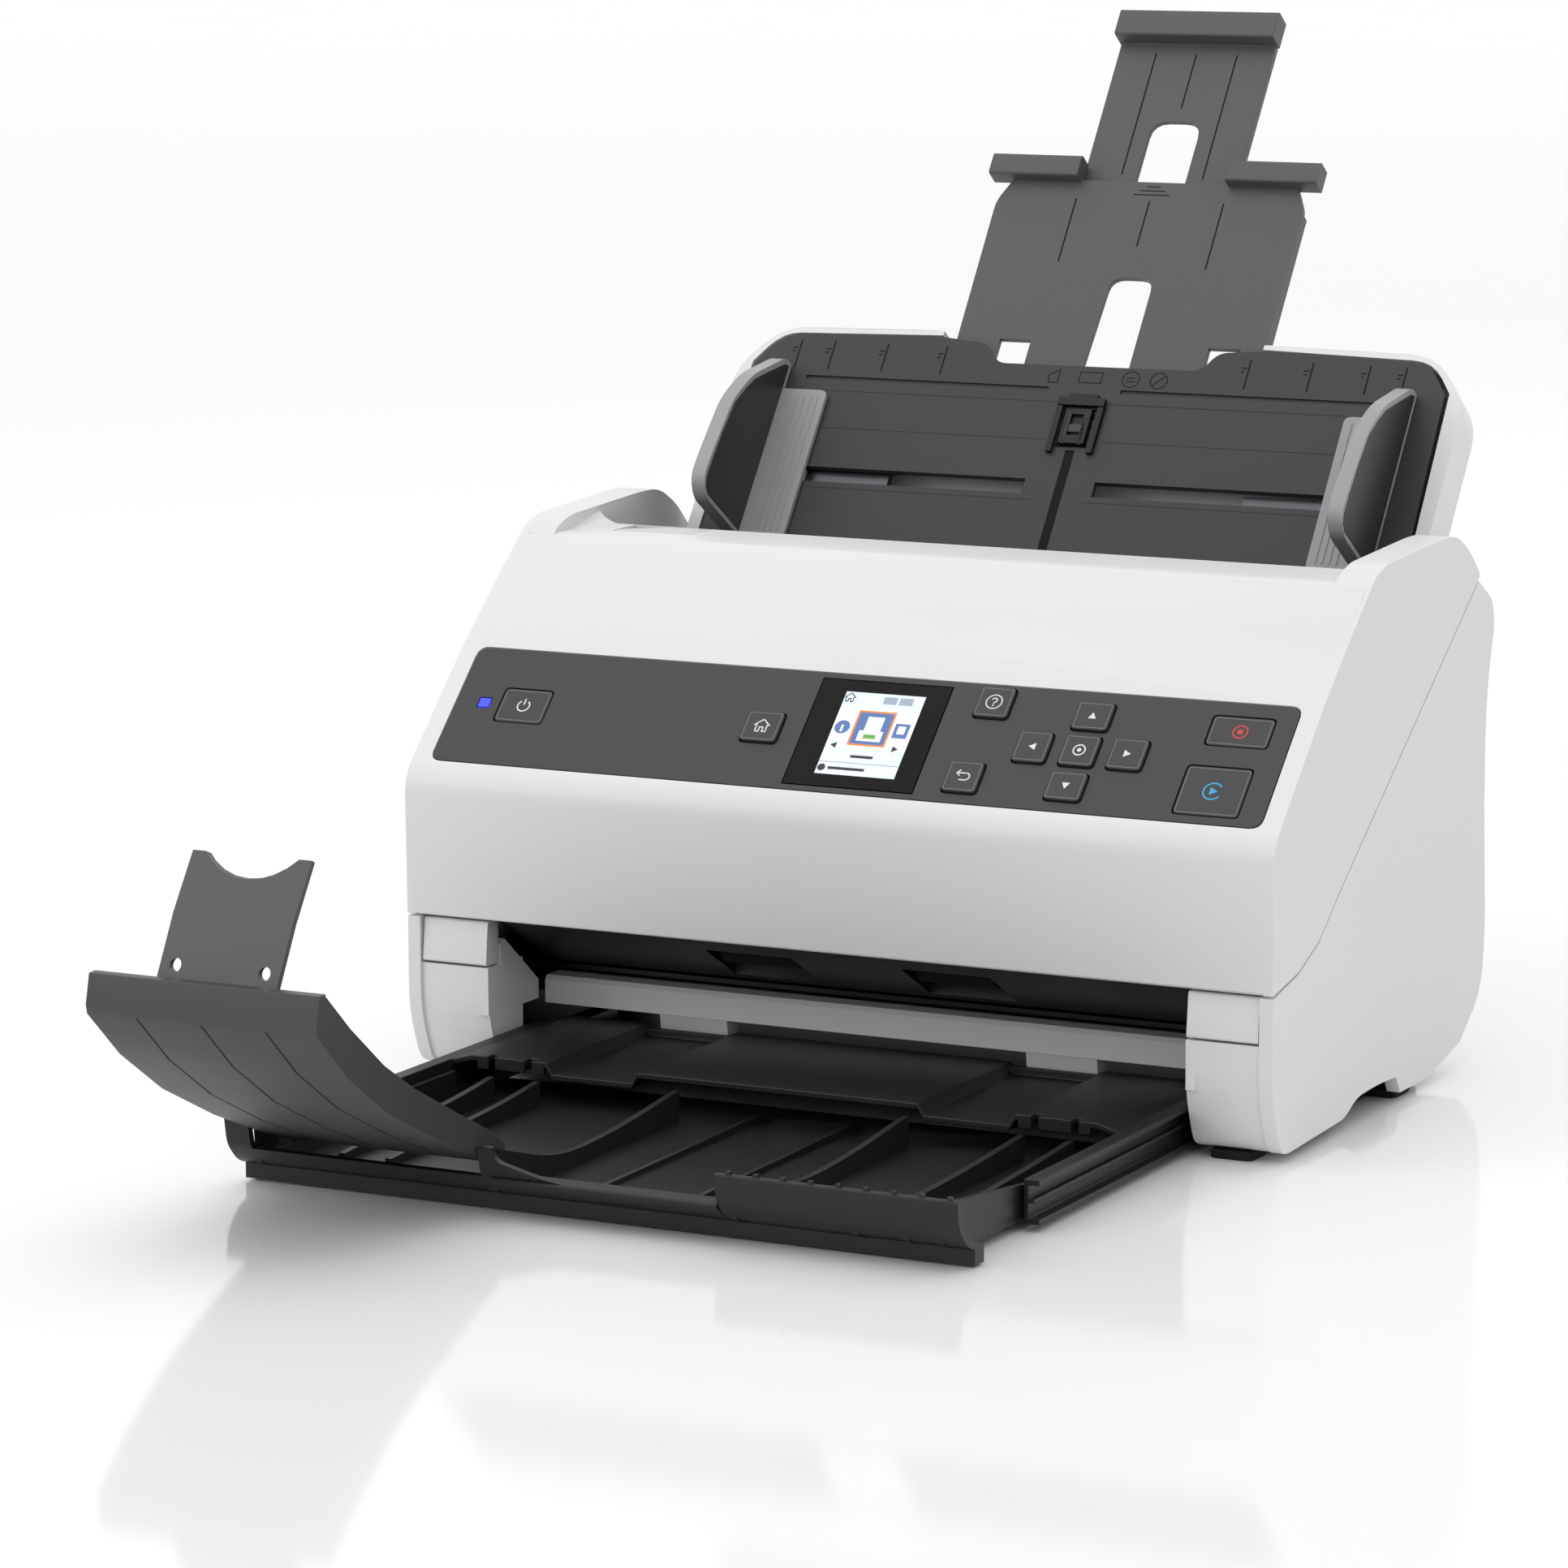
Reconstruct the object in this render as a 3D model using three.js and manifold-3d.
// Sheet fed document scanner, modelled open and ready to scan. Millimetres, +Z up.
// X runs along the rollers, Y from the front to the back, Z up from the table.
import * as THREE from 'three';
import { mergeVertices } from 'three/addons/utils/BufferGeometryUtils.js';
import Module from 'manifold-3d';

const wasm = await Module();
wasm.setup();

// Driving dimensions
const BODY_HALF = 148;            // half width of the body
const WALL = 3;                   // casing wall
const LEG_INNER = 119.6;          // inner face of each front leg
const GAP = 0.4;                  // clearance between neighbouring pieces
const ARM_INNER = 136;            // inner face of the cover's two arms
const PANEL_TILT = THREE.MathUtils.degToRad(44.1);
const PANEL_CENTRE = [0, 20.6, 118.4];
const PANEL_HALF = [141.4, 22.7]; // half width and half height of the key panel
const BEZEL_THICK = 2;
const TRAY_TILT = THREE.MathUtils.degToRad(54);
const TRAY_ORIGIN = [0, 170, 174];
const TRAY_HALF = 131.5;          // half width of the input tray
const TRAY_LOW = -24;             // lower edge of the input tray, down its own slope
const TRAY_TOP = 61;
const GUIDE_INNER = 110.5;        // inner face of each edge guide, A4 setting
const OUT_HALF = 118.8;           // half width of the output tray
const SHAFT_R = 3;
const FLAP_X = [-109.5, -34.5];   // left and right edge of the stopper flap
const FRAME_Y = -25.9;            // puts the origin under the middle of the whole object

// Materials
function paint(color, roughness, metalness = 0) {
  return new THREE.MeshStandardMaterial({ color, roughness, metalness });
}

const white = () => paint(0xe9e9e9, 0.45);
const warmGrey = () => paint(0xb8b8b8, 0.5);
const panelGrey = () => paint(0x555555, 0.5);
const trayGrey = () => paint(0x4a4a4a, 0.6);
const midGrey = () => paint(0x8a8a8a, 0.5);
const black = () => paint(0x262626, 0.55);
const rubber = () => paint(0x303030, 0.9);
const steel = () => paint(0xb9bcc0, 0.3, 1);
const glass = () => paint(0x101214, 0.08);
const board = () => paint(0x1f5a36, 0.6);
const blueLens = () => paint(0x3050ff, 0.2);

// Geometry to solid, solid to mesh
function solid(geometry) {
  geometry.deleteAttribute('normal');
  geometry.deleteAttribute('uv');
  const merged = mergeVertices(geometry, 1e-4);
  const vertProperties = Float32Array.from(merged.attributes.position.array);
  const triVerts = Uint32Array.from(merged.index.array);
  return new wasm.Manifold(new wasm.Mesh({ numProp: 3, vertProperties, triVerts }));
}

function join(...solids) {
  return solids.reduce((a, b) => a.add(b));
}

function cut(body, ...tools) {
  return tools.reduce((a, b) => a.subtract(b), body);
}

function part(name, shape, material) {
  const { vertProperties, triVerts } = shape.getMesh();
  const geometry = new THREE.BufferGeometry();
  geometry.setAttribute('position', new THREE.BufferAttribute(Float32Array.from(vertProperties), 3));
  geometry.setIndex(new THREE.BufferAttribute(Uint32Array.from(triVerts), 1));
  geometry.computeVertexNormals();
  const mesh = new THREE.Mesh(geometry, material);
  mesh.name = name;
  return mesh;
}

// A box from its lowest to its highest corner
function box(x0, x1, y0, y1, z0, z1) {
  const geometry = new THREE.BoxGeometry(x1 - x0, y1 - y0, z1 - z0);
  geometry.translate((x0 + x1) / 2, (y0 + y1) / 2, (z0 + z1) / 2);
  return solid(geometry);
}

// A closed outline; a third number on a point rounds that corner by so much
function outline(points) {
  const shape = new THREE.Shape();
  const count = points.length;
  points.forEach(([x, y, r = 0], i) => {
    const toward = ([px, py]) => {
      const length = Math.hypot(px - x, py - y);
      return [x + (px - x) * r / length, y + (py - y) * r / length];
    };
    const [ax, ay] = r ? toward(points[(i + count - 1) % count]) : [x, y];
    if (i) shape.lineTo(ax, ay);
    else shape.moveTo(ax, ay);
    if (r) shape.quadraticCurveTo(x, y, ...toward(points[(i + 1) % count]));
  });
  shape.closePath();
  return shape;
}

function extrude(points, depth, curveSegments = 4) {
  return new THREE.ExtrudeGeometry(outline(points), { depth, bevelEnabled: false, curveSegments });
}

const ALONG_X = new THREE.Matrix4().makeBasis(
  new THREE.Vector3(0, 1, 0), new THREE.Vector3(0, 0, 1), new THREE.Vector3(1, 0, 0));

// A side view outline in Y and Z, drawn out along X
function across(points, x0, x1, curveSegments) {
  const geometry = extrude(points, x1 - x0, curveSegments);
  geometry.applyMatrix4(ALONG_X);
  geometry.translate(x0, 0, 0);
  return solid(geometry);
}

// A plan view outline in X and Y, drawn out along Z
function flat(points, z0, z1, curveSegments) {
  const geometry = extrude(points, z1 - z0, curveSegments);
  geometry.translate(0, 0, z0);
  return solid(geometry);
}

// A front view outline in X and Z, drawn out along Y
function along(points, y0, y1, curveSegments) {
  const geometry = extrude(points, y1 - y0, curveSegments);
  geometry.rotateX(Math.PI / 2);
  geometry.translate(0, y1, 0);
  return solid(geometry);
}

function rounded(x0, x1, y0, y1, r) {
  return [[x0, y0, r], [x1, y0, r], [x1, y1, r], [x0, y1, r]];
}

function rod(radius, x0, x1, y, z, sides = 20) {
  const geometry = new THREE.CylinderGeometry(radius, radius, x1 - x0, sides);
  geometry.rotateZ(Math.PI / 2);
  geometry.translate((x0 + x1) / 2, y, z);
  return solid(geometry);
}

function mirrored(points) {
  return points.map(([x, y, r]) => [-x, y, r]).reverse();
}

// Side view lines shared by the cover and the base
const SEAM = [[0.2, 53.2], [20, 57], [36.6, 63.8], [52.8, 76.2], [169.5, 157.8]];
const below = (points, drop) => points.map(([y, z]) => [y, z - drop]);
const FRONT_LINE = [[-0.6, 92], [0.2, 98.8], [4.1, 102.4], [37.1, 134.4], [60, 154]];
const ARM_TOP = [[79, 169.2, 3], [88, 171.8, 3], [136, 174.2, 5], [149, 174, 6], [161, 167.6, 4],
  [171, 158.8, 2]];
const BAND_TOP = 167;             // height of the cover's top between the two arms
const BAND_REAR = 107;

// Front cover: a skin over the machine's front and top, with an arm along each side
function coverSkin(x0, x1) {
  const top = [[76, BAND_TOP, 3], [BAND_REAR, BAND_TOP]];
  const inner = [[BAND_REAR, BAND_TOP - 2.8], [84.5, BAND_TOP - 2.8], [77.5, 161.8], [62.5, 150.2],
    [40, 130.2], [8.5, 99.2], [3.2, 94.5], [2.4, 91], [3.2, 56.2], [5.2, 56.2], [5.2, 54.4], [2.6, 53.2]];
  return across([[0.2, 53.2, 0.8], ...FRONT_LINE, ...top, ...inner], x0, x1);
}

function coverSide(side) {
  const [x0, x1] = side > 0 ? [BODY_HALF - WALL, BODY_HALF] : [-BODY_HALF, WALL - BODY_HALF];
  const seam = [...SEAM].reverse();
  return across([...FRONT_LINE, ...ARM_TOP, ...seam], x0, x1);
}

function coverArm(side) {
  const span = (a, b) => (side > 0 ? [a, b] : [-b, -a]);
  const whole = across([[66, 86], [66, 158], ...ARM_TOP, [169.5, 157.8]], ...span(ARM_INNER, BODY_HALF));
  const pocket = across([[60, 70], [69, 158], [79, 164.6], [90, 168.4], [138, 171], [149, 170.8],
    [158, 165.4], [166, 157], [172, 152], [160, 140]], ...span(ARM_INNER + WALL, BODY_HALF - WALL));
  return cut(whole, pocket);
}

// The hollow curve where an arm rises from the band
function armFoot(side) {
  const curve = [[ARM_INNER + 1, 165.5], [ARM_INNER + 1, 170.8], [ARM_INNER - 0.4, 170.8], [133.6, 168.9],
    [130.8, 167.6], [126.5, 166.4], [126.5, 165.5]];
  return along(side > 0 ? curve : mirrored(curve), 88.5, BAND_REAR - 0.5);
}

function frontCover() {
  const skin = coverSkin(-BODY_HALF + WALL / 2, BODY_HALF - WALL / 2);
  const arms = [-1, 1].flatMap((side) => [coverSide(side), coverArm(side), armFoot(side)]);
  const shell = join(skin, ...arms);
  const [halfX, halfY] = PANEL_HALF;
  const recess = panelBlock(halfX + GAP, halfY + GAP, -BEZEL_THICK - 0.3, 3, 4);
  const window = panelBlock(halfX - 4, halfY - 0.9, -9, 3, 1);
  const leverSeat = box(-122.4, -93.6, 90.6, 106.4, BAND_TOP - 5, BAND_TOP + 3);
  return cut(shell, recess, window, leverSeat);
}

// A block on the sloping control panel, given by its half sizes and its depth range
function panelBlock(halfX, halfY, n0, n1, r) {
  const block = extrude(rounded(-halfX, halfX, -halfY, halfY, r), n1 - n0);
  block.translate(0, 0, n0);
  block.rotateX(PANEL_TILT);
  block.translate(...PANEL_CENTRE);
  return solid(block);
}

// Paper path: the curve that both inner guides follow
const PATH_TOP = [[116.5, 106], [84, 61], [64, 42, 8]];
const EXIT_GUIDE = [[39, 34.2], [5.8, 52.2]];
const NIP_LOWER = [119.7, 88.7];
const NIP_UPPER = [105.7, 98.9];
const EXIT_LOWER = [62, 28.6];
const EXIT_PINCH = [26, 46.5];
const REAR_SENSOR = [95.2, 71];
const FRONT_SENSOR = [97.9, 80.3];
const MOTOR = [124, 61.4];
const SENSOR_HALF = [118, 8];

function coverPaperGuide() {
  const body = across([...PATH_TOP, ...EXIT_GUIDE, [5.8, 55.4], [40, 57], [66, 68], [100, 112],
    [104.3, 159.6], [107.5, 163.9], [109, 161.5], [112, 130]], -ARM_INNER + 3, ARM_INNER - 3);
  const rollerPockets = [-34, 34].map((x) => across(
    [[14, 40], [34, 30], [38, 44], [24, 58], [15, 54]], x - 15, x + 15));
  const nipPocket = box(-26, 26, 94, 125, 86, 112);
  const shaftHole = rod(SHAFT_R + 0.5, -36, 36, ...NIP_UPPER);
  const exitHole = rod(2.5, -62, 62, ...EXIT_PINCH);
  const besideLegs = [[-140, -LEG_INNER + 2], [LEG_INNER - 2, 140]].map(
    ([a, b]) => box(a, b, 0, 62, 30, 60));
  const shafts = join(shaftHole, exitHole);
  return cut(body, ...rollerPockets, nipPocket, shafts, ...besideLegs, sensorPocket(FRONT_SENSOR, 1));
}

function rollerWithTyres(xs, tyreHalf, tyreRadius, shaftRadius, y, z, shaftHalf) {
  const tyres = xs.map((x) => rod(tyreRadius, x - tyreHalf, x + tyreHalf, y, z, 24));
  return join(rod(shaftRadius, -shaftHalf, shaftHalf, y, z, 12), ...tyres);
}

// Control panel, in its own plane: X along the panel, Y up the slope, Z out of it
const KEYS = [
  ['power_key', -117, 0.8, 17, 13], ['home_key', -31.5, -0.3, 12.5, 11.5],
  ['help_key', 42.5, 15.6, 11.5, 11.5], ['back_key', 41.6, -13.2, 11.5, 11.5],
  ['up_key', 76.2, 13.2, 12, 10.5], ['left_key', 60.4, 0, 11, 11.5],
  ['ok_key', 76, 0, 11.5, 11.5], ['right_key', 91.8, 0, 11.5, 11.5],
  ['down_key', 75.8, -13.6, 12, 10.5], ['stop_key', 124.6, 12, 20, 11],
  ['start_key', 122.6, -10.6, 21, 18],
];
const KEY_DEPTH = 4;
const WINDOW_X = [-17.5, 26.5];
const WINDOW_HALF_Y = 20.4;
const LENS_X = [-133.2, -129.4];
const LENS_Y = [-0.7, 2.7];

function controlBezel() {
  const [halfX, halfY] = PANEL_HALF;
  const plate = flat(rounded(-halfX, halfX, -halfY, halfY, 4), -BEZEL_THICK, 0);
  const holes = KEYS.map(([, x, y, w, h]) => flat(
    rounded(x - w / 2 - GAP, x + w / 2 + GAP, y - h / 2 - GAP, y + h / 2 + GAP, 1.8), -5, 2));
  const windowHalf = WINDOW_HALF_Y + GAP;
  const window = box(WINDOW_X[0] - GAP, WINDOW_X[1] + GAP, -windowHalf, windowHalf, -5, 2);
  const lens = box(LENS_X[0] - GAP, LENS_X[1] + GAP, LENS_Y[0] - GAP, LENS_Y[1] + GAP, -5, 2);
  return cut(plate, ...holes, window, lens);
}

function key([name, x, y, w, h]) {
  const proud = ['power_key', 'stop_key', 'start_key'].includes(name) ? 0 : 1;
  const cap = flat(rounded(x - w / 2, x + w / 2, y - h / 2, y + h / 2, 1.6), -KEY_DEPTH, proud, 3);
  return part(name, cap, panelGrey());
}

function controlPanel() {
  const group = new THREE.Group();
  group.rotation.x = PANEL_TILT;
  group.position.set(...PANEL_CENTRE);
  group.add(part('control_bezel', controlBezel(), panelGrey()));
  KEYS.forEach((entry) => group.add(key(entry)));
  const [x0, x1] = WINDOW_X;
  const pane = box(x0, x1, -WINDOW_HALF_Y, WINDOW_HALF_Y, -1.6, 0);
  group.add(part('display_window', pane, glass()));
  group.add(part('display_module', box(x0 + 1, x1 - 1, -19, 19, -5, -2.6), steel()));
  group.add(part('status_lens', box(...LENS_X, ...LENS_Y, -3, 0), blueLens()));
  group.add(part('control_board', box(-134, 134, -17, 17, -8.2, -6.6), board()));
  return group;
}

// Lever on the left of the cover's top that releases the cover
function releaseLever() {
  const plate = flat([[-121.9, 91], [-94.1, 91], [-94.1, 105.8], [-110, 105.8], [-121.9, 96]],
    BAND_TOP - 2.6, BAND_TOP - 0.1);
  const spindle = rod(1.2, -119, -97, 103.4, BAND_TOP - 3.6, 10);
  return join(plate, spindle);
}

// Base: side panels with their legs, back, floor and inner frame
const BACK_LINE = [[182, 150, 3], [185.2, 142, 5], [181, 129, 6], [178.4, 112, 8], [178.6, 84],
  [181.6, 40, 10], [178, 22, 8], [160, 9.4], [150, 7]];
const UNDER_LINE = [[129, 3.2], [107, 3.2], [103.5, 8.8], [88, 9.6, 8], [70, 9, 5], [60, 4.4, 4]];
const LEG_FRONT = [[16, 3], [8, 3, 6], [0.6, 22, 8], [0.4, 51]];
const BETWEEN_SIDES = 143.1;      // half width of what fits between the two side panels
const INLET = [-118, -102, 23, 36];
const PORT = [-92, -78, 25, 36];

function sidePanel(side) {
  const span = (a, b) => (side > 0 ? [a, b] : [-b, -a]);
  const top = below(SEAM, 0.7).slice(1);
  const silhouette = [[0.4, 52.2], ...top, ...BACK_LINE, ...UNDER_LINE, ...LEG_FRONT];
  const skin = across(silhouette, ...span(BODY_HALF - 4.4, BODY_HALF));
  const leg = across([[1.6, 37.4], [24, 37.4], [24, 3], [18, 3], [9, 3, 6], [1.8, 22, 8]],
    ...span(LEG_INNER, BODY_HALF - 4));
  const cheek = across([[1.8, 37], [9.8, 37], [9.8, 43.6], [12.5, 45.2], [34.4, 28.2],
    [34.4, 22], [1.8, 22]], ...span(LEG_INNER, LEG_INNER + WALL));
  return join(skin, leg, cheek);
}

function legCap(side) {
  const span = (a, b) => (side > 0 ? [a, b] : [-b, -a]);
  const inner = LEG_INNER + 0.4;
  const block = across([[1, 38.1, 1], [10, 38.1], [10, 46.4], [20, 52], [2.4, 52.2, 1]],
    ...span(inner + 3, BODY_HALF - 5));
  const nose = across([[1, 38.1, 1], [9, 38.1], [9, 52.2], [2.4, 52.2, 1]], ...span(inner, inner + 3));
  return join(block, nose);
}

function rearCover() {
  const inner = [[150, 10], [158.5, 12.2], [174.5, 24, 6], [178.2, 40, 8], [175.4, 84], [175.2, 113, 6],
    [177.8, 130, 4], [178.6, 147]];
  const band = across([...BACK_LINE, ...inner], -BETWEEN_SIDES, BETWEEN_SIDES);
  const around = ([x0, x1, z0, z1]) => box(x0 - 0.5, x1 + 0.5, 170, 190, z0 - 0.5, z1 + 0.5);
  const inlet = around(INLET);
  const port = around(PORT);
  const vents = [...Array(9).keys()].map((i) => box(-44 + i * 11, -37 + i * 11, 170, 190, 88, 92));
  return cut(band, inlet, port, ...vents);
}

function bottomPan() {
  const plate = box(-BETWEEN_SIDES, BETWEEN_SIDES, 59, 149, 19.2, 21.2);
  const underside = box(-130.4, 130.4, 26, 149, 1, 2);
  const walls = [-1, 1].map((side) => {
    const [a, b] = side > 0 ? [136, 139] : [-139, -136];
    return across([[40, 3.4], [145, 3.4], [145, 100], [118, 104], [100, 84], [72, 50], [40, 34]], a, b);
  });
  const ties = [-133, 133].map((x) => box(x - 3.6, x + 3.6, 40, 106, 1, 5));
  const bores = [[...NIP_LOWER, 3.6], [...EXIT_LOWER, 2.6], [...MOTOR, 2]].map(
    ([y, z, r]) => rod(r, -144, 144, y, z, 16));
  return cut(join(plate, underside, ...ties, ...walls), ...bores);
}

function sillBar() {
  const bar = across([[35, 20.6], [44, 20.6], [52, 21.6], [52, 26.5], [44, 29.6], [36.4, 29.6], [35, 28.2]],
    2 - LEG_INNER, LEG_INNER - 2);
  const tab = (x) => across([[35, 22], [44, 22], [43, 15.6], [36, 15.6]], x - 12, x + 12);
  return join(bar, tab(-64), tab(64));
}

// The opening that a scanning unit sits in
function sensorPocket([y, z], side) {
  const [halfX, halfY] = SENSOR_HALF.map((half) => half + GAP + 0.2);
  const block = new THREE.BoxGeometry(2 * halfX, 2 * halfY, 20);
  block.translate(0, 0, side * 6);
  block.rotateX(TRAY_TILT);
  block.translate(0, y, z);
  return solid(block);
}

function lowerPaperGuide() {
  const body = across([[121.4, 106.6], [151.4, 147.6], [155, 145], [126, 104], [92, 57], [67, 32.4],
    [45, 30.2], [45, 32], [63, 35.6, 6], [88, 60.4]], -135.6, 135.6);
  const feedPocket = box(-26, 26, 104, 134, 80, 100);
  const exitPockets = [-34, 34].map((x) => box(x - 14.5, x + 14.5, 54, 71, 26, 46));
  return cut(body, feedPocket, ...exitPockets, sensorPocket(REAR_SENSOR, -1));
}

function foot(name, x, y, top) {
  const pad = flat(rounded(x - 7, x + 7, y - 7, y + 7, 2.5), 0, top);
  return part(name, pad, rubber());
}

// Scanning glass unit, a bar across the paper path
function sensorUnit(name, [y, z], side) {
  const group = new THREE.Group();
  group.rotation.x = TRAY_TILT;
  group.position.set(0, y, z);
  const [halfX, halfY] = SENSOR_HALF;
  const [n0, n1] = side > 0 ? [0.8, 13] : [-13, -0.8];
  const [g0, g1] = side > 0 ? [-0.2, 0.5] : [-0.5, 0.2];
  group.add(part(`${name}_sensor_unit`, box(-halfX, halfX, -halfY, halfY, n0, n1), black()));
  group.add(part(`${name}_sensor_glass`, box(2 - halfX, halfX - 2, -6.5, 6.5, g0, g1), glass()));
  return group;
}

function driveMotor() {
  return join(rod(11, -134, -114, ...MOTOR, 24), rod(4, -135.4, -133.8, ...MOTOR, 16));
}

// A small pulley on each driven shaft, and the toothed belt's plain loop round both
const BELT_X = [140, 142.8];
const GEAR_X = -142.6;
const SHAFT_END = 143.2;
const PULLEY_R = 6;

function driveBelt() {
  const [ay, az] = NIP_LOWER;
  const [by, bz] = EXIT_LOWER;
  const start = Math.atan2(az - bz, ay - by) - Math.PI / 2;
  const loop = (radius) => {
    const shape = new THREE.Shape();
    shape.absarc(ay, az, radius, start, start + Math.PI, false);
    shape.absarc(by, bz, radius, start + Math.PI, start + 2 * Math.PI, false);
    shape.closePath();
    return shape;
  };
  const band = loop(PULLEY_R + 1.4);
  band.holes.push(new THREE.Path(loop(PULLEY_R + 0.3).getPoints(8).reverse()));
  const depth = BELT_X[1] - BELT_X[0];
  const geometry = new THREE.ExtrudeGeometry(band, { depth, bevelEnabled: false, curveSegments: 8 });
  geometry.applyMatrix4(ALONG_X);
  geometry.translate(BELT_X[0], 0, 0);
  return solid(geometry);
}

function pulley([y, z]) {
  return rod(PULLEY_R, ...BELT_X, y, z, 24);
}

// A spur gear of a given tooth count and module, lying in X and Y from z = 0 up
function gear(teeth, module, width, bore) {
  const outer = teeth * module / 2 + module * 0.9;
  const root = teeth * module / 2 - module * 1.2;
  const shape = new THREE.Shape();
  for (let i = 0; i < teeth; i += 1) {
    const step = 2 * Math.PI / teeth;
    [[0, root], [0.22, root], [0.38, outer], [0.62, outer], [0.78, root]].forEach(([f, r], k) => {
      const angle = (i + f) * step;
      const [px, py] = [r * Math.cos(angle), r * Math.sin(angle)];
      if (i + k) shape.lineTo(px, py);
      else shape.moveTo(px, py);
    });
  }
  const hole = new THREE.Path();
  hole.absarc(0, 0, bore, 0, 2 * Math.PI, true);
  shape.holes.push(hole);
  return new THREE.ExtrudeGeometry(shape, { depth: width, bevelEnabled: false, curveSegments: 6 });
}

function shaftGear(teeth, module, width, x0, [y, z], bore) {
  const geometry = gear(teeth, module, width, bore);
  geometry.rotateY(Math.PI / 2);
  geometry.translate(x0, y, z);
  return solid(geometry);
}

// Input tray, in its own plane: Y up the slope, Z out of its face
const SLOT = { y: [3, 8.6], left: [-100, -13], right: [12, 100] };
const RACK_DEPTH = [-5.4, -3];
const RACK_PITCH = 3;
const PLATE_ONE = [-8, -6];
const PLATE_TWO = [-10.8, -9];

function paperSupport() {
  const edge = [[-126, TRAY_LOW], [126, TRAY_LOW], [124.6, 48], [117, 59.5, 7], [58, TRAY_TOP, 2],
    [43, 59.6, 3], [38, 52.4, 3], [-35, 52, 3], [-41, 59.4, 3], [-58, TRAY_TOP, 2], [-117, 59.5, 7],
    [-124.6, 48]];
  const plate = flat(edge, -2.4, 0);
  const slots = [SLOT.left, SLOT.right].map(([a, b]) => box(a, b, ...SLOT.y, -5, 2));
  const strapGroove = box(-1.6, 1.6, TRAY_LOW - 1, 20, -1, 1);
  const flapHole = box(-6, 6, 21, 36, -5, 2);
  const groove = [[-104, -14], [12, 104]].map(([a, b]) => box(a, b, 42.2, 43.8, -0.7, 1));
  return cut(plate, ...slots, strapGroove, flapHole, ...groove);
}

function trayShell() {
  const half = TRAY_HALF;
  const rim = [[-half, TRAY_LOW], [half, TRAY_LOW], [half, 46, 8], [118, 62.6, 9], [58, 63.6, 2],
    [46, 61.5, 3], [40, 50.5, 3], [-37, 50.5, 3], [-44, 61, 3], [-58, 63.6, 2], [-118, 62.6, 9],
    [-half, 46, 8]];
  const body = flat(rim, -16, -0.3);
  const bed = flat([[-127, TRAY_LOW + 2.5], [127, TRAY_LOW + 2.5], [126, 48.5], [118, 60, 7],
    [58, 61.6, 2], [-58, 61.6, 2], [-118, 60, 7], [-126, 48.5]], -14.2, 1);
  const face = flat([[-126.4, TRAY_LOW - 1], [126.4, TRAY_LOW - 1], [125, 49], [118, 60.2, 7],
    [58, 61.8, 2], [-58, 61.8, 2], [-118, 60.2, 7], [-125, 49]], -2.8, 1);
  const mouth = box(-58, 58, 40, 70, -14.2, 1);
  return cut(body, bed, face, mouth);
}

function edgeGuide(side) {
  const span = (a, b) => (side > 0 ? [a, b] : [-b, -a]);
  const profile = [[-20, 0.4], [-21.5, 29, 4], [-16, 34.4, 3], [-8, 34, 4], [16, 31, 6], [30, 23, 5],
    [47, 5.4, 3], [47, 0.4]];
  const blade = across(profile, ...span(GUIDE_INNER, GUIDE_INNER + 5));
  const [x0, x1] = span(93.5, GUIDE_INNER + 2);
  const sole = flat(rounded(x0, x1, -20, 37, 2.5), 0.4, 2);
  const stem = box(...span(94.4, 99.4), 3.6, 8, RACK_DEPTH[1] + 0.3, 0.6);
  return join(blade, sole, stem);
}

// Rack that carries a guide; the two racks face each other across one pinion
function guideRack(side) {
  const [x0, x1] = side > 0 ? [-14, 108] : [-108, 14];
  const [y0, y1] = side > 0 ? [-4.5, -0.9] : [12.9, 16.5];
  const bar = box(x0, x1, y0, y1, ...RACK_DEPTH);
  const shoe = side > 0 ? box(64, x1, -1.2, 8, ...RACK_DEPTH) : box(x0, -64, 4, 13.2, ...RACK_DEPTH);
  const toothY = side > 0 ? [y1 - 0.2, y1 + 1.2] : [y0 - 1.2, y0 + 0.2];
  const teeth = [...Array(Math.floor((x1 - x0 - 2) / RACK_PITCH)).keys()].map((i) => {
    const x = x0 + 1 + i * RACK_PITCH;
    return box(x, x + RACK_PITCH * 0.4, ...toothY, ...RACK_DEPTH);
  });
  return join(bar, shoe, ...teeth);
}

function stackFlap() {
  const pad = flat([[-4.6, 22], [4.6, 22], [4.6, 35], [-4.6, 35]], -1.2, 1.6);
  const hollow = box(-2.2, 2.2, 25, 33, 0.4, 3);
  const spindle = rod(1, -5.4, 5.4, 34, -1.4, 10);
  return join(cut(pad, hollow), spindle);
}

// The hooked bar on the top edge of an extension
function pullBar(x0, x1, y0, y1, z0, z1) {
  return across([[y0, z0], [y1, z0], [y1, z1, 1], [y0, z1, 1]], x0, x1);
}

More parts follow.
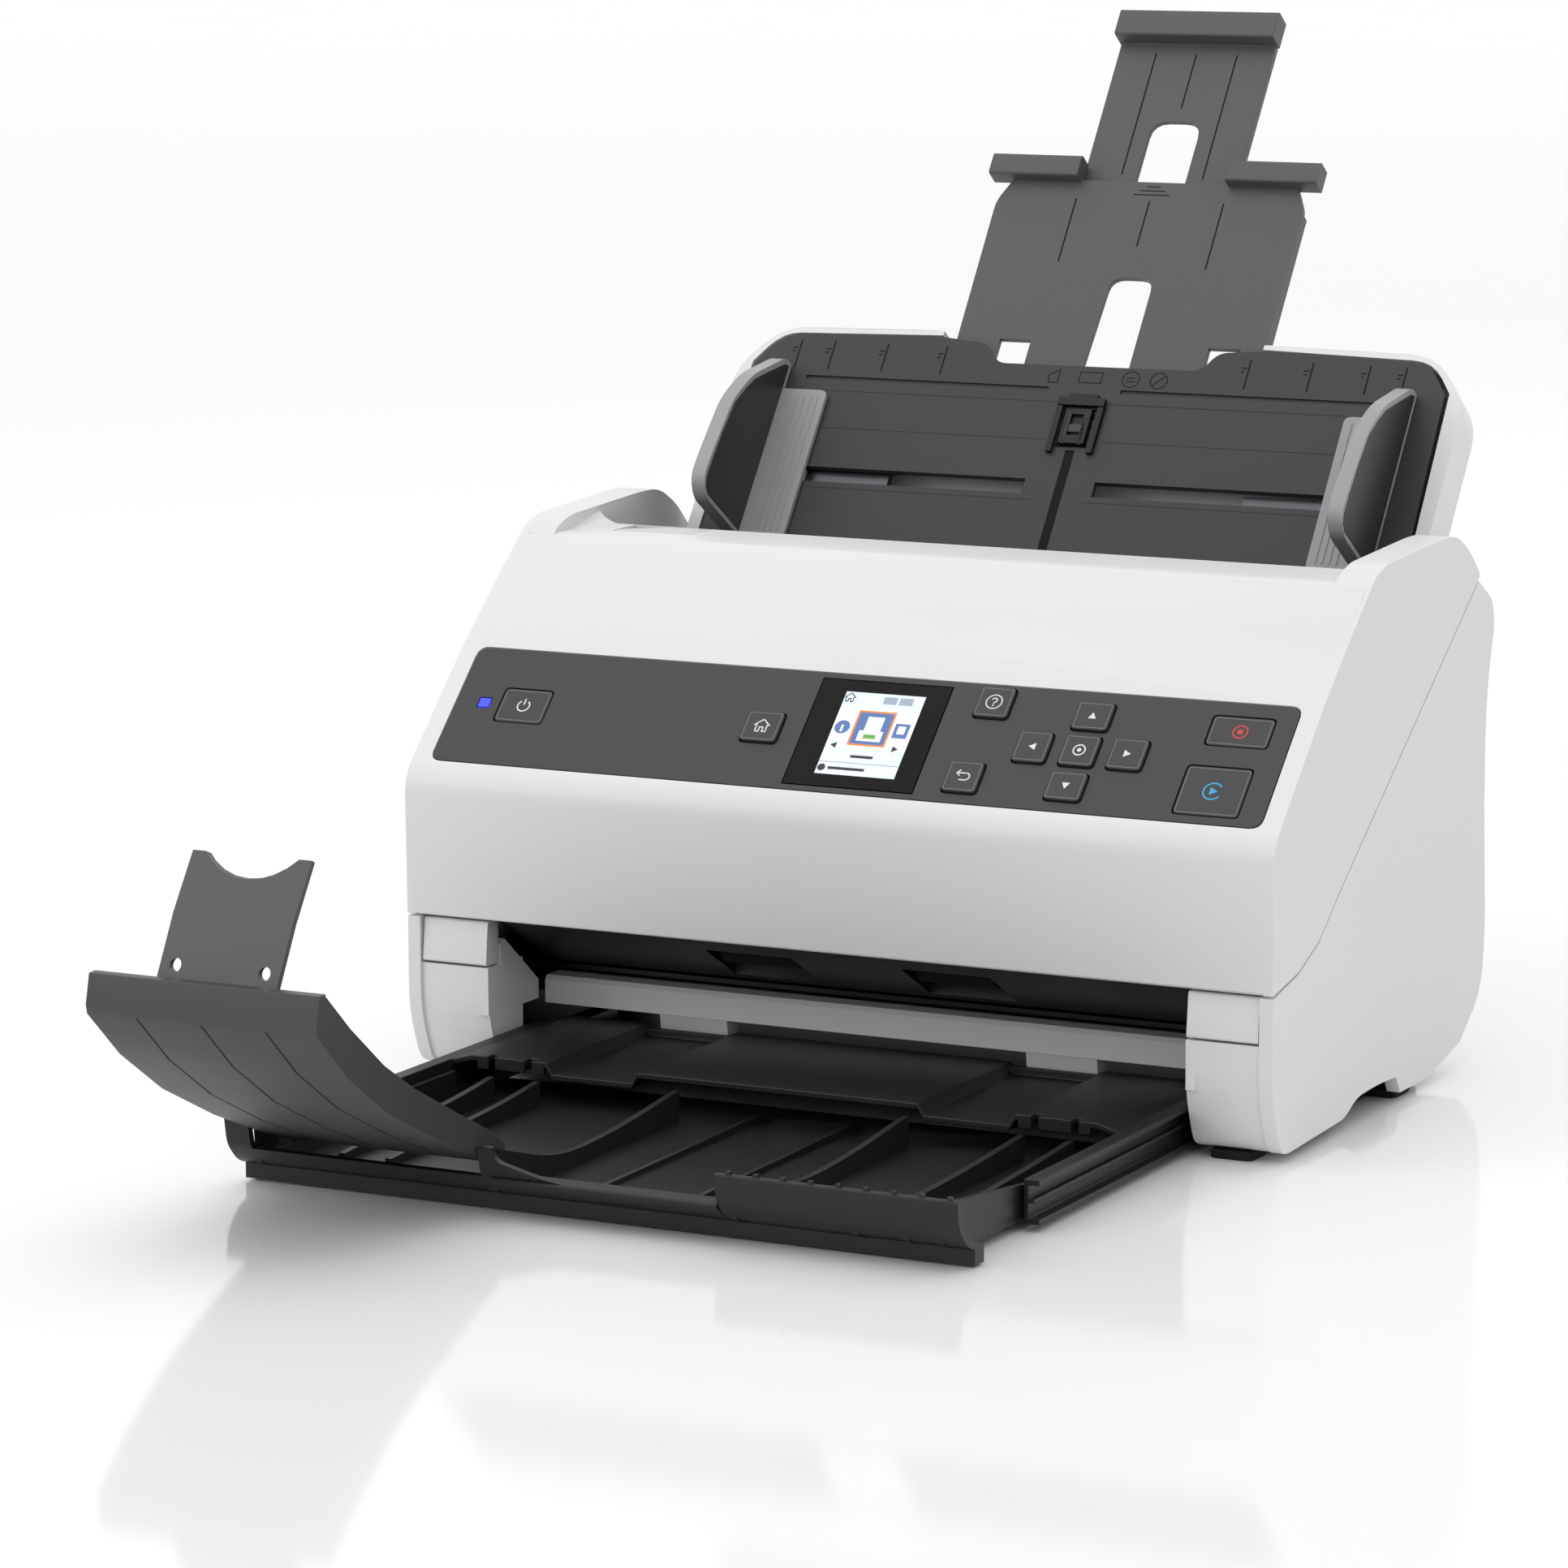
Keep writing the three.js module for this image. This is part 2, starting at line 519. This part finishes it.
function extensionOne() {
  const half = 55.5;
  const edge = [[-half, 42], [half, 42], [56.4, 119, 3], [52, 128.4, 2], [-52, 128.4, 2], [-56.4, 119, 3]];
  const plate = flat(edge, ...PLATE_ONE);
  const lips = [[-half, 2 - half], [half - 2, half]].map(([a, b]) => box(a, b, 42, 119, -12, -6.4));
  const bars = [[-60, -27], [27, 60]].map(([a, b]) => pullBar(a, b, 127.5, 135.5, PLATE_ONE[0], -1.4));
  const cutout = flat([[-8.4, 20], [9.6, 20], [9.6, 90.5, 5], [-6, 90.5, 5]], -12, 4);
  const catches = [[-40, -28.6], [36, 47.4]].map(([a, b]) => box(a, b, 51, 64.8, -12, -2));
  return cut(join(plate, ...lips, ...bars), cutout, ...catches);
}

function extensionTwo() {
  const plate = flat([[-28, 100], [28, 100], [28.6, 188], [-28.6, 188]], ...PLATE_TWO);
  const lips = [[-28, -26], [26, 28]].map(([a, b]) => box(a, b, 100, 187, -12.8, -9.6));
  const bar = pullBar(-29.4, 29.4, 186, 196, PLATE_TWO[0], -3);
  const cutout = flat([[-8.6, 90], [9.4, 90], [9.4, 154.5, 6], [-8.6, 154.5, 6]], -14, 4);
  return cut(join(plate, ...lips, bar), cutout);
}

function inputTray() {
  const group = new THREE.Group();
  group.rotation.x = TRAY_TILT;
  group.position.set(...TRAY_ORIGIN);
  group.add(part('input_tray_shell', trayShell(), white()));
  group.add(part('paper_support', paperSupport(), trayGrey()));
  group.add(part('edge_guide_left', edgeGuide(-1), midGrey()));
  group.add(part('edge_guide_right', edgeGuide(1), midGrey()));
  group.add(part('guide_rack_left', guideRack(-1), steel()));
  group.add(part('guide_rack_right', guideRack(1), steel()));
  const pinion = gear(12, 0.75, RACK_DEPTH[1] - RACK_DEPTH[0], 1);
  pinion.translate(0, 6, RACK_DEPTH[0]);
  group.add(part('guide_pinion', solid(pinion), steel()));
  group.add(part('stack_sensor_flap', stackFlap(), black()));
  group.add(part('tray_extension_1', extensionOne(), trayGrey()));
  group.add(part('tray_extension_2', extensionTwo(), trayGrey()));
  return group;
}

// Output side: the tray's first stage, a stepped top with a C rail along each side
const STAGE_FRONT = -33;
const STAGE_REAR = 34;
const RAIL_FRONT = -100;
const SHELF = 17.5;               // top of the middle and side shelves
const CHANNEL = 14;               // top of the channels between them

function outputTray() {
  const profile = [[0, SHELF], [47.6, SHELF], [49.6, CHANNEL], [77.6, CHANNEL], [79.6, SHELF],
    [106, SHELF], [112.6, 15.6], [118, 15.6]];
  const lower = profile.map(([x, z]) => [x, z - 1.8]).reverse();
  const half = [...profile, ...lower];
  const top = [half, mirrored(half)].map((points) => along(points, STAGE_FRONT, STAGE_REAR));
  const bridge = box(-2, 2, STAGE_FRONT, STAGE_REAR, SHELF - 1.8, SHELF);
  const rails = [-1, 1].flatMap((side) => {
    const span = (a, b) => (side > 0 ? [a, b] : [-b, -a]);
    const web = box(...span(113, 114.6), RAIL_FRONT, STAGE_REAR, 2.4, 15.6);
    const upper = box(...span(113, 118), RAIL_FRONT, STAGE_REAR, 13.8, 15.6);
    const under = box(...span(113, 118), RAIL_FRONT, STAGE_REAR, 2.4, 4);
    const step = box(...span(113, 116.4), RAIL_FRONT, STAGE_REAR, 8.6, 9.8);
    return [web, upper, under, step];
  });
  const brace = box(-114, 114, STAGE_REAR - 2.5, STAGE_REAR, 6, 16.4);
  const lips = [[80.4, 104], [-104, -80.4]].map(
    ([a, b]) => box(a, b, STAGE_FRONT, STAGE_FRONT + 1.6, 13.4, 17));
  const notches = [-99, -86, 86, 99].map(
    (x) => box(x - 1.2, x + 1.2, STAGE_FRONT - 1, STAGE_FRONT + 4, 12, 20));
  return cut(join(...top, bridge, ...rails, brace, ...lips), ...notches);
}

// Second stage: floor with curved ribs, and the front wall that stops the sheets
const RIB_FOOT = 4;

function rib(x, y0, y1, zFront, zLow, zRear) {
  const middle = (y0 + y1) / 2;
  const points = [[y0, RIB_FOOT], [y1, RIB_FOOT], [y1, zRear], [middle + 16, zLow + 1, 18],
    [middle - 20, zLow, 16], [y0, zFront]];
  return across(points, x - 1.1, x + 1.1);
}

function trayExtension() {
  const inner = 111.6;
  const floor = box(-inner, inner, -141, -6, 3, 4.8);
  const wallPoints = [[-156.6, 21.2, 0.7], [-154.8, 21.8, 0.6], [-152.8, 14], [-147, 8.4, 3], [-139, 6],
    [-139, 0.8], [-141, 0.8], [-142.4, 4.6], [-149.5, 7, 3], [-155.2, 13, 3]];
  const wall = across(wallPoints, -OUT_HALF, OUT_HALF);
  const rampPoints = [[-154, 20.6], [-152.6, 20.6], [-128, 9, 10], [-96, 4.8], [-96, 3.4], [-138, 3.4]];
  const ramp = across(rampPoints, 43, inner);
  const rampLeft = across(rampPoints, -inner, FLAP_X[0] - 1);
  const sides = [[-inner, 1.8 - inner], [inner - 1.8, inner]].map(([a, b]) => across(
    [[-150, 3], [-6, 3], [-6, 7], [-36, 7], [-36, 12.6], [-92, 12.6], [-152, 19]], a, b));
  const ribs = [
    rib(-31.5, -150, -38, 19.6, 9.4, 14.6),
    rib(-80, -128, -38, 7, 8.6, 12.6),
    rib(-96, -128, -38, 7, 8.6, 12.6),
    rib(46, -152, -38, 18, 9.4, 14.6),
    rib(84, -152, -38, 18, 9.4, 12.6),
    rib(100, -152, -38, 18, 9.4, 12.6)];
  const bow = [-9, 22].map((x) => across(
    [[-128, 4.6], [-20, 4.6], [-20, 7.4], [-70, 6.6, 10], [-128, 6.2]], x - 0.8, x + 0.8));
  const bar = box(-OUT_HALF, OUT_HALF, -145, -139.6, 0.8, 5.4);
  const scoopPoints = [[-156, 12, 2], [-151, 13.4], [-139, 8.6], [-128, 4.8], [-140, 3.4], [-150, 7.6]];
  const scoopFace = across(scoopPoints, -30, 43);
  const scoopOutline = [[-28.6, 30], [-28.6, 17.6, 3], [-6, 11.4, 12], [43, 11.4], [43, 30]];
  const scoopFront = along(scoopOutline, -169.6, -149.6);
  const scoopRear = across([[-150, 30], [-150, 11.4], [-136, 7.4], [-136, 30]], -28.6, 43);
  const scoop = join(scoopFront, scoopRear);
  const bayX = [FLAP_X[0] - 1.2, FLAP_X[1] + 1.2];
  const flapBay = join(box(...bayX, -165, -145.9, 12.2, 30), box(...bayX, -146, -131, 9.6, 30));
  const outside = across([[-145, 0], [-145, 5.2], [-149.5, 7], [-155.2, 13], [-156.6, 21.2], [-170, 24],
    [-170, 0]], -OUT_HALF, OUT_HALF);
  const nibs = [...Array(9).keys()].map((i) => box(46.4 + i * 8.6, 47.8 + i * 8.6, -155.9, -154.4, 21, 22.4));
  const inside = cut(join(floor, ramp, rampLeft, ...sides, ...ribs, ...bow), outside);
  const solidBody = join(inside, wall, bar);
  return join(cut(solidBody, scoop, flapBay), scoopFace, ...nibs);
}

// Stopper flap: a curved shell that swings up from the front wall of the tray
function stopperFlap() {
  const [x0, x1] = FLAP_X;
  const under = [[-138.4, 12.4], [-150, 16.2], [-177, 27.2], [-204, 40.2], [-225.5, 54.4], [-241.6, 69]];
  const inside = [[-242.2, 71.6], [-240.2, 80.4], [-237, 80.6], [-236.6, 74], [-222.6, 57.2],
    [-202.4, 43], [-176, 29.8], [-149, 19], [-138.4, 19.2]];
  const skin = across([...under, ...inside], x0, x1);
  const cheekTop = [[-236.6, 79.6], [-224, 68.4], [-206, 54.6], [-190, 45], [-167, 33.6], [-146, 23.6],
    [-139, 19]];
  const cheeks = [[x0, x0 + 2.2], [x1 - 2.2, x1]].map(
    ([a, b]) => across([...under, [-240, 78], ...cheekTop], a, b));
  return join(skin, ...cheeks);
}

// Stopper plate: the thin plate that folds up from the tip of the flap
function stopperPlate() {
  const [x0, x1] = [-91.5, -52.5];
  const blade = across([[-234.6, 77.4], [-232.8, 76.8], [-222.4, 96], [-212.2, 111.6], [-213.6, 112.4],
    [-224.2, 96.8]], x0, x1);
  const drill = (radius, x, y, z) => solid(
    new THREE.CylinderGeometry(radius, radius, 40, 32).translate(x, y, z));
  const dip = drill(22, (x0 + x1) / 2, -213, 128.2);
  const holes = [x0 + 5, x1 - 5].map((x) => drill(1.9, x, -230.4, 83));
  return cut(blade, dip, ...holes);
}

// Assembly
function scanner() {
  const group = new THREE.Group();
  group.position.y = FRAME_Y;
  [['left', -1], ['right', 1]].forEach(([name, side]) => {
    group.add(part(`${name}_side_panel`, sidePanel(side), white()));
    group.add(part(`${name}_leg_cap`, legCap(side), white()));
    group.add(foot(`foot_front_${name}`, side * 131, 17, 2.7));
    group.add(foot(`foot_rear_${name}`, side * 138, 118, 2.9));
  });
  group.add(part('rear_cover', rearCover(), white()));
  group.add(part('base_frame', bottomPan(), black()));
  group.add(part('exit_sill', sillBar(), warmGrey()));
  group.add(part('lower_paper_guide', lowerPaperGuide(), black()));
  group.add(part('front_cover', frontCover(), white()));
  group.add(part('cover_paper_guide', coverPaperGuide(), black()));
  group.add(part('cover_release_lever', releaseLever(), warmGrey()));
  group.add(controlPanel());
  const feed = join(rollerWithTyres([-13, 13], 9, 10, SHAFT_R, ...NIP_LOWER, SHAFT_END), pulley(NIP_LOWER));
  const exit = join(rollerWithTyres([-34, 34], 13, 7, 2, ...EXIT_LOWER, SHAFT_END), pulley(EXIT_LOWER));
  const motorGear = join(shaftGear(12, 1, 2.6, GEAR_X, MOTOR, 1), rod(1.3, GEAR_X - 0.4, -136, ...MOTOR, 12));
  group.add(part('feed_roller', feed, rubber()));
  group.add(part('feed_gear', shaftGear(38, 1, 2.6, GEAR_X, NIP_LOWER, SHAFT_R + 0.3), warmGrey()));
  group.add(part('motor_gear', motorGear, steel()));
  group.add(part('drive_belt', driveBelt(), rubber()));
  group.add(part('separation_roller', rollerWithTyres([-13, 13], 9, 7, SHAFT_R, ...NIP_UPPER, 34), rubber()));
  group.add(part('exit_roller', exit, rubber()));
  group.add(part('exit_pinch_roller', rollerWithTyres([-34, 34], 13, 4.6, 2, ...EXIT_PINCH, 60), rubber()));
  group.add(sensorUnit('rear', REAR_SENSOR, -1));
  group.add(sensorUnit('front', FRONT_SENSOR, 1));
  group.add(part('drive_motor', driveMotor(), steel()));
  group.add(part('main_board', box(-90, 60, 146, 148, 34, 90), board()));
  const socket = ([x0, x1, z0, z1]) => box(x0, x1, 172, 181.4, z0, z1);
  group.add(part('power_inlet', socket(INLET), black()));
  group.add(part('data_port', socket(PORT), steel()));
  group.add(inputTray());
  group.add(part('output_tray', outputTray(), black()));
  group.add(part('output_tray_extension', trayExtension(), black()));
  group.add(part('stopper_flap', stopperFlap(), trayGrey()));
  group.add(part('stopper_plate', stopperPlate(), trayGrey()));
  return group;
}

export default scanner();
